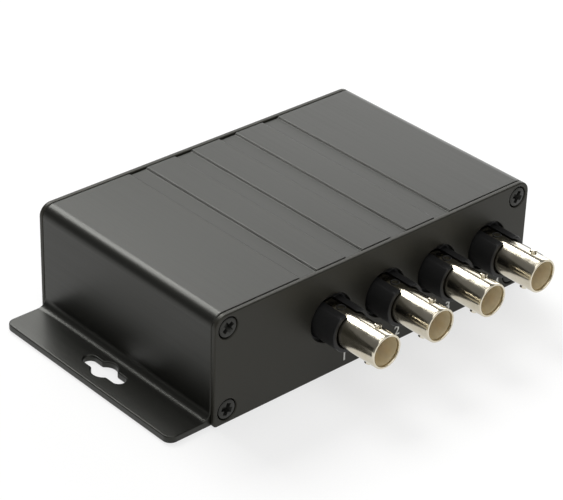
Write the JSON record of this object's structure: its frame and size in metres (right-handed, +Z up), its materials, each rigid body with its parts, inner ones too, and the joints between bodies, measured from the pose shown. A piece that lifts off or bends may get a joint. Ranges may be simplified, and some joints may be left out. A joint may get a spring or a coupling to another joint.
{
  "type": "ethernet over coax converter",
  "caption": "Flat black aluminium case with wall flanges and keyholes, a row of bayonet coax jacks at the front, and a network socket, power inlet and lights at the back.",
  "frame": {"origin": "centre of the underside, midway between the outer faces of the two end plates", "axes": "+X along the row of coax jacks to the right as seen from the front, +Y from the coax jacks to the back panel, +Z up"},
  "size_m": [0.136, 0.092, 0.032],
  "materials": {
    "case": "black anodised, satin",
    "end_plate": "black anodised sheet, fine grain",
    "screw": "blackened",
    "jack_moulding": "moulded, semi-gloss black",
    "jack_barrel": "nickel plated, bright",
    "insulator": "moulded, off-white",
    "gold_contact": "gold plated",
    "socket_shield": "tinned sheet",
    "socket_insert": "moulded black",
    "inlet_moulding": "moulded black",
    "tinned_pin": "tin plated",
    "power_lens": "tinted lens",
    "channel_lens": "tinted lens",
    "emitter": "moulded white, clear face",
    "circuit_board": "glass-fibre board with green mask",
    "transformer": "moulded black",
    "chip": "moulded black",
    "inductor": "ferrite, dark grey",
    "capacitor": "moulded, dark",
    "crystal_can": "can, satin"
  },
  "bodies": {
    "root": {"housing": "case", "front_plate": "end_plate", "back_plate": "end_plate", "front_plate_screws": "screw", "back_plate_screws": "screw", "jack_moulding_1": "jack_moulding", "jack_barrel_1": "jack_barrel", "jack_insulator_1": "insulator", "jack_contact_1": "gold_contact", "jack_moulding_2": "jack_moulding", "jack_barrel_2": "jack_barrel", "jack_insulator_2": "insulator", "jack_contact_2": "gold_contact", "jack_moulding_3": "jack_moulding", "jack_barrel_3": "jack_barrel", "jack_insulator_3": "insulator", "jack_contact_3": "gold_contact", "jack_moulding_4": "jack_moulding", "jack_barrel_4": "jack_barrel", "jack_insulator_4": "insulator", "jack_contact_4": "gold_contact", "socket_shield": "socket_shield", "socket_insert": "socket_insert", "socket_wires": "gold_contact", "power_inlet": "inlet_moulding", "power_pin": "tinned_pin", "power_finger": "tinned_pin", "power_light": "power_lens", "channel_light_1": "channel_lens", "channel_light_2": "channel_lens", "channel_light_3": "channel_lens", "channel_light_4": "channel_lens", "light_emitters": "emitter", "circuit_board": "circuit_board", "line_transformer_1": "transformer", "modem_chip_1": "chip", "line_transformer_2": "transformer", "modem_chip_2": "chip", "line_transformer_3": "transformer", "modem_chip_3": "chip", "line_transformer_4": "transformer", "modem_chip_4": "chip", "switch_chip": "chip", "network_transformer": "transformer", "power_inductor": "inductor", "capacitor_1": "capacitor", "capacitor_2": "capacitor", "crystal": "crystal_can"}
  },
  "joints": []
}
